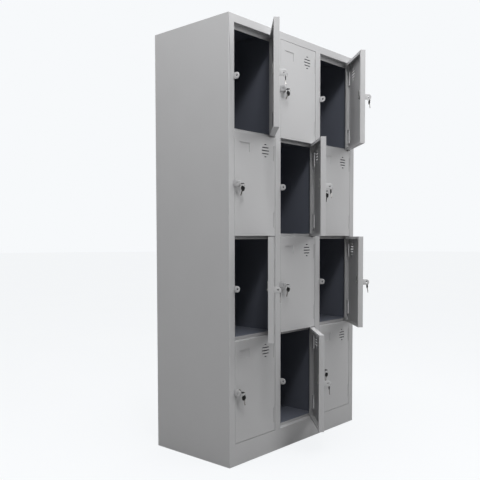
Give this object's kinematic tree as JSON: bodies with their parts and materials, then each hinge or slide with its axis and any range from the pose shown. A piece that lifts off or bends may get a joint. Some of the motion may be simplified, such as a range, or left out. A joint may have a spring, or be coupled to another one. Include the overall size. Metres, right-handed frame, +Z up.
{
  "type": "coin operated locker",
  "caption": "Free-standing sheet-steel locker bank with hinged pan doors, each with a cam lock and key, padlock eyes, a card holder and vent slots.",
  "frame": {"origin": "centre of the cabinet's footprint on the floor", "axes": "+Z up, the doors face -Y, +X to the right of a person facing the doors"},
  "size_m": [0.94, 0.6541, 1.85],
  "materials": {
    "light_grey_powder_coat": "satin powder coat",
    "light_grey_powder_coat_door": "satin powder coat",
    "zinc_plated_steel": "satin zinc plating",
    "nickel_and_black_key": "nickel plated blade and black head"
  },
  "bodies": {
    "cabinet": {"left_side_panel": "light_grey_powder_coat", "right_side_panel": "light_grey_powder_coat", "back_panel": "light_grey_powder_coat", "top_panel": "light_grey_powder_coat", "base_panel": "light_grey_powder_coat", "top_rail": "light_grey_powder_coat", "plinth": "light_grey_powder_coat", "mullions": "light_grey_powder_coat", "partitions": "light_grey_powder_coat", "shelves": "light_grey_powder_coat", "frame_eyes": "light_grey_powder_coat", "hinge_leaves": "light_grey_powder_coat"},
    "door_body_r1c1": {"door_r1c1": "light_grey_powder_coat_door", "door_fittings_r1c1": "zinc_plated_steel"},
    "lock_body_r1c1": {"lock_plug_cam_and_key_r1c1": "zinc_plated_steel"},
    "spare_key_body_r1c1": {"spare_key_r1c1": "nickel_and_black_key"},
    "door_body_r1c2": {"door_r1c2": "light_grey_powder_coat_door", "door_fittings_r1c2": "zinc_plated_steel"},
    "lock_body_r1c2": {"lock_plug_cam_and_key_r1c2": "zinc_plated_steel"},
    "spare_key_body_r1c2": {"spare_key_r1c2": "nickel_and_black_key"},
    "door_body_r1c3": {"door_r1c3": "light_grey_powder_coat_door", "door_fittings_r1c3": "zinc_plated_steel"},
    "lock_body_r1c3": {"lock_plug_cam_and_key_r1c3": "zinc_plated_steel"},
    "spare_key_body_r1c3": {"spare_key_r1c3": "nickel_and_black_key"},
    "door_body_r2c1": {"door_r2c1": "light_grey_powder_coat_door", "door_fittings_r2c1": "zinc_plated_steel"},
    "lock_body_r2c1": {"lock_plug_cam_and_key_r2c1": "zinc_plated_steel"},
    "spare_key_body_r2c1": {"spare_key_r2c1": "nickel_and_black_key"},
    "door_body_r2c2": {"door_r2c2": "light_grey_powder_coat_door", "door_fittings_r2c2": "zinc_plated_steel"},
    "lock_body_r2c2": {"lock_plug_cam_and_key_r2c2": "zinc_plated_steel"},
    "spare_key_body_r2c2": {"spare_key_r2c2": "nickel_and_black_key"},
    "door_body_r2c3": {"door_r2c3": "light_grey_powder_coat_door", "door_fittings_r2c3": "zinc_plated_steel"},
    "lock_body_r2c3": {"lock_plug_cam_and_key_r2c3": "zinc_plated_steel"},
    "spare_key_body_r2c3": {"spare_key_r2c3": "nickel_and_black_key"},
    "door_body_r3c1": {"door_r3c1": "light_grey_powder_coat_door", "door_fittings_r3c1": "zinc_plated_steel"},
    "lock_body_r3c1": {"lock_plug_cam_and_key_r3c1": "zinc_plated_steel"},
    "spare_key_body_r3c1": {"spare_key_r3c1": "nickel_and_black_key"},
    "door_body_r3c2": {"door_r3c2": "light_grey_powder_coat_door", "door_fittings_r3c2": "zinc_plated_steel"},
    "lock_body_r3c2": {"lock_plug_cam_and_key_r3c2": "zinc_plated_steel"},
    "spare_key_body_r3c2": {"spare_key_r3c2": "nickel_and_black_key"},
    "door_body_r3c3": {"door_r3c3": "light_grey_powder_coat_door", "door_fittings_r3c3": "zinc_plated_steel"},
    "lock_body_r3c3": {"lock_plug_cam_and_key_r3c3": "zinc_plated_steel"},
    "spare_key_body_r3c3": {"spare_key_r3c3": "nickel_and_black_key"},
    "door_body_r4c1": {"door_r4c1": "light_grey_powder_coat_door", "door_fittings_r4c1": "zinc_plated_steel"},
    "lock_body_r4c1": {"lock_plug_cam_and_key_r4c1": "zinc_plated_steel"},
    "spare_key_body_r4c1": {"spare_key_r4c1": "nickel_and_black_key"},
    "door_body_r4c2": {"door_r4c2": "light_grey_powder_coat_door", "door_fittings_r4c2": "zinc_plated_steel"},
    "lock_body_r4c2": {"lock_plug_cam_and_key_r4c2": "zinc_plated_steel"},
    "spare_key_body_r4c2": {"spare_key_r4c2": "nickel_and_black_key"},
    "door_body_r4c3": {"door_r4c3": "light_grey_powder_coat_door", "door_fittings_r4c3": "zinc_plated_steel"},
    "lock_body_r4c3": {"lock_plug_cam_and_key_r4c3": "zinc_plated_steel"},
    "spare_key_body_r4c3": {"spare_key_r4c3": "nickel_and_black_key"}
  },
  "joints": [
    {"name": "door_swing_r1c1", "type": "hinge", "parent": "cabinet", "child": "door_body_r1c1", "pos_m": [-0.1765, -0.219, 1.60225], "axis": [0, 0, 1], "range_deg": [-43, 62]},
    {"name": "lock_turn_r1c1", "type": "hinge", "parent": "door_body_r1c1", "child": "lock_body_r1c1", "pos_m": [-0.34562, -0.38149, 1.60225], "axis": [0.682, -0.7314, 0], "range_deg": [0, 90]},
    {"name": "spare_key_swing_r1c1", "type": "hinge", "parent": "lock_body_r1c1", "child": "spare_key_body_r1c1", "pos_m": [-0.32809, -0.40028, 1.58745], "axis": [0.682, -0.7314, 0], "range_deg": [-66, 49]},
    {"name": "door_swing_r1c2", "type": "hinge", "parent": "cabinet", "child": "door_body_r1c2", "pos_m": [0.1265, -0.219, 1.60225], "axis": [0, 0, 1], "range_deg": [0, 105]},
    {"name": "lock_turn_r1c2", "type": "hinge", "parent": "door_body_r1c2", "child": "lock_body_r1c2", "pos_m": [-0.108, -0.2225, 1.60225], "axis": [0, -1, 0], "range_deg": [0, 90]},
    {"name": "spare_key_swing_r1c2", "type": "hinge", "parent": "lock_body_r1c2", "child": "spare_key_body_r1c2", "pos_m": [-0.108, -0.2482, 1.58745], "axis": [0, -1, 0], "range_deg": [-60, 55]},
    {"name": "door_swing_r1c3", "type": "hinge", "parent": "cabinet", "child": "door_body_r1c3", "pos_m": [0.4295, -0.219, 1.60225], "axis": [0, 0, 1], "range_deg": [-48, 57]},
    {"name": "lock_turn_r1c3", "type": "hinge", "parent": "door_body_r1c3", "child": "lock_body_r1c3", "pos_m": [0.27519, -0.39561, 1.60225], "axis": [0.7431, -0.6691, 0], "range_deg": [0, 90]},
    {"name": "spare_key_swing_r1c3", "type": "hinge", "parent": "lock_body_r1c3", "child": "spare_key_body_r1c3", "pos_m": [0.29429, -0.41281, 1.58745], "axis": [0.7431, -0.6691, 0], "range_deg": [-66, 49]},
    {"name": "door_swing_r2c1", "type": "hinge", "parent": "cabinet", "child": "door_body_r2c1", "pos_m": [-0.1765, -0.219, 1.17075], "axis": [0, 0, 1], "range_deg": [0, 105]},
    {"name": "lock_turn_r2c1", "type": "hinge", "parent": "door_body_r2c1", "child": "lock_body_r2c1", "pos_m": [-0.411, -0.2225, 1.17075], "axis": [0, -1, 0], "range_deg": [0, 90]},
    {"name": "spare_key_swing_r2c1", "type": "hinge", "parent": "lock_body_r2c1", "child": "spare_key_body_r2c1", "pos_m": [-0.411, -0.2482, 1.15595], "axis": [0, -1, 0], "range_deg": [-66, 49]},
    {"name": "door_swing_r2c2", "type": "hinge", "parent": "cabinet", "child": "door_body_r2c2", "pos_m": [0.1265, -0.219, 1.17075], "axis": [0, 0, 1], "range_deg": [-46, 59]},
    {"name": "lock_turn_r2c2", "type": "hinge", "parent": "door_body_r2c2", "child": "lock_body_r2c2", "pos_m": [-0.03388, -0.39012, 1.17075], "axis": [0.7193, -0.6947, 0], "range_deg": [0, 90]},
    {"name": "spare_key_swing_r2c2", "type": "hinge", "parent": "lock_body_r2c2", "child": "spare_key_body_r2c2", "pos_m": [-0.01539, -0.40797, 1.15595], "axis": [0.7193, -0.6947, 0], "range_deg": [-66, 49]},
    {"name": "door_swing_r2c3", "type": "hinge", "parent": "cabinet", "child": "door_body_r2c3", "pos_m": [0.4295, -0.219, 1.17075], "axis": [0, 0, 1], "range_deg": [0, 105]},
    {"name": "lock_turn_r2c3", "type": "hinge", "parent": "door_body_r2c3", "child": "lock_body_r2c3", "pos_m": [0.195, -0.2225, 1.17075], "axis": [0, -1, 0], "range_deg": [0, 90]},
    {"name": "spare_key_swing_r2c3", "type": "hinge", "parent": "lock_body_r2c3", "child": "spare_key_body_r2c3", "pos_m": [0.195, -0.2482, 1.15595], "axis": [0, -1, 0], "range_deg": [-74, 41]},
    {"name": "door_swing_r3c1", "type": "hinge", "parent": "cabinet", "child": "door_body_r3c1", "pos_m": [-0.1765, -0.219, 0.73925], "axis": [0, 0, 1], "range_deg": [-38, 67]},
    {"name": "lock_turn_r3c1", "type": "hinge", "parent": "door_body_r3c1", "child": "lock_body_r3c1", "pos_m": [-0.35913, -0.36613, 0.73925], "axis": [0.6157, -0.788, 0], "range_deg": [0, 90]},
    {"name": "spare_key_swing_r3c1", "type": "hinge", "parent": "lock_body_r3c1", "child": "spare_key_body_r3c1", "pos_m": [-0.34331, -0.38638, 0.72445], "axis": [0.6157, -0.788, 0], "range_deg": [-66, 49]},
    {"name": "door_swing_r3c2", "type": "hinge", "parent": "cabinet", "child": "door_body_r3c2", "pos_m": [0.1265, -0.219, 0.73925], "axis": [0, 0, 1], "range_deg": [0, 105]},
    {"name": "lock_turn_r3c2", "type": "hinge", "parent": "door_body_r3c2", "child": "lock_body_r3c2", "pos_m": [-0.108, -0.2225, 0.73925], "axis": [0, -1, 0], "range_deg": [0, 90]},
    {"name": "spare_key_swing_r3c2", "type": "hinge", "parent": "lock_body_r3c2", "child": "spare_key_body_r3c2", "pos_m": [-0.108, -0.2482, 0.72445], "axis": [0, -1, 0], "range_deg": [-70, 45]},
    {"name": "door_swing_r3c3", "type": "hinge", "parent": "cabinet", "child": "door_body_r3c3", "pos_m": [0.4295, -0.219, 0.73925], "axis": [0, 0, 1], "range_deg": [-47, 58]},
    {"name": "lock_turn_r3c3", "type": "hinge", "parent": "door_body_r3c3", "child": "lock_body_r3c3", "pos_m": [0.27213, -0.39289, 0.73925], "axis": [0.7314, -0.682, 0], "range_deg": [0, 90]},
    {"name": "spare_key_swing_r3c3", "type": "hinge", "parent": "lock_body_r3c3", "child": "spare_key_body_r3c3", "pos_m": [0.29093, -0.41042, 0.72445], "axis": [0.7314, -0.682, 0], "range_deg": [-66, 49]},
    {"name": "door_swing_r4c1", "type": "hinge", "parent": "cabinet", "child": "door_body_r4c1", "pos_m": [-0.1765, -0.219, 0.30775], "axis": [0, 0, 1], "range_deg": [0, 105]},
    {"name": "lock_turn_r4c1", "type": "hinge", "parent": "door_body_r4c1", "child": "lock_body_r4c1", "pos_m": [-0.411, -0.2225, 0.30775], "axis": [0, -1, 0], "range_deg": [0, 90]},
    {"name": "spare_key_swing_r4c1", "type": "hinge", "parent": "lock_body_r4c1", "child": "spare_key_body_r4c1", "pos_m": [-0.411, -0.2482, 0.29295], "axis": [0, -1, 0], "range_deg": [-104, 11]},
    {"name": "door_swing_r4c2", "type": "hinge", "parent": "cabinet", "child": "door_body_r4c2", "pos_m": [0.1265, -0.219, 0.30775], "axis": [0, 0, 1], "range_deg": [-45, 60]},
    {"name": "lock_turn_r4c2", "type": "hinge", "parent": "door_body_r4c2", "child": "lock_body_r4c2", "pos_m": [-0.03684, -0.38729, 0.30775], "axis": [0.7071, -0.7071, 0], "range_deg": [0, 90]},
    {"name": "spare_key_swing_r4c2", "type": "hinge", "parent": "lock_body_r4c2", "child": "spare_key_body_r4c2", "pos_m": [-0.01867, -0.40546, 0.29295], "axis": [0.7071, -0.7071, 0], "range_deg": [-66, 49]},
    {"name": "door_swing_r4c3", "type": "hinge", "parent": "cabinet", "child": "door_body_r4c3", "pos_m": [0.4295, -0.219, 0.30775], "axis": [0, 0, 1], "range_deg": [0, 105]},
    {"name": "lock_turn_r4c3", "type": "hinge", "parent": "door_body_r4c3", "child": "lock_body_r4c3", "pos_m": [0.195, -0.2225, 0.30775], "axis": [0, -1, 0], "range_deg": [0, 90]},
    {"name": "spare_key_swing_r4c3", "type": "hinge", "parent": "lock_body_r4c3", "child": "spare_key_body_r4c3", "pos_m": [0.195, -0.2482, 0.29295], "axis": [0, -1, 0], "range_deg": [-78, 37]}
  ]
}
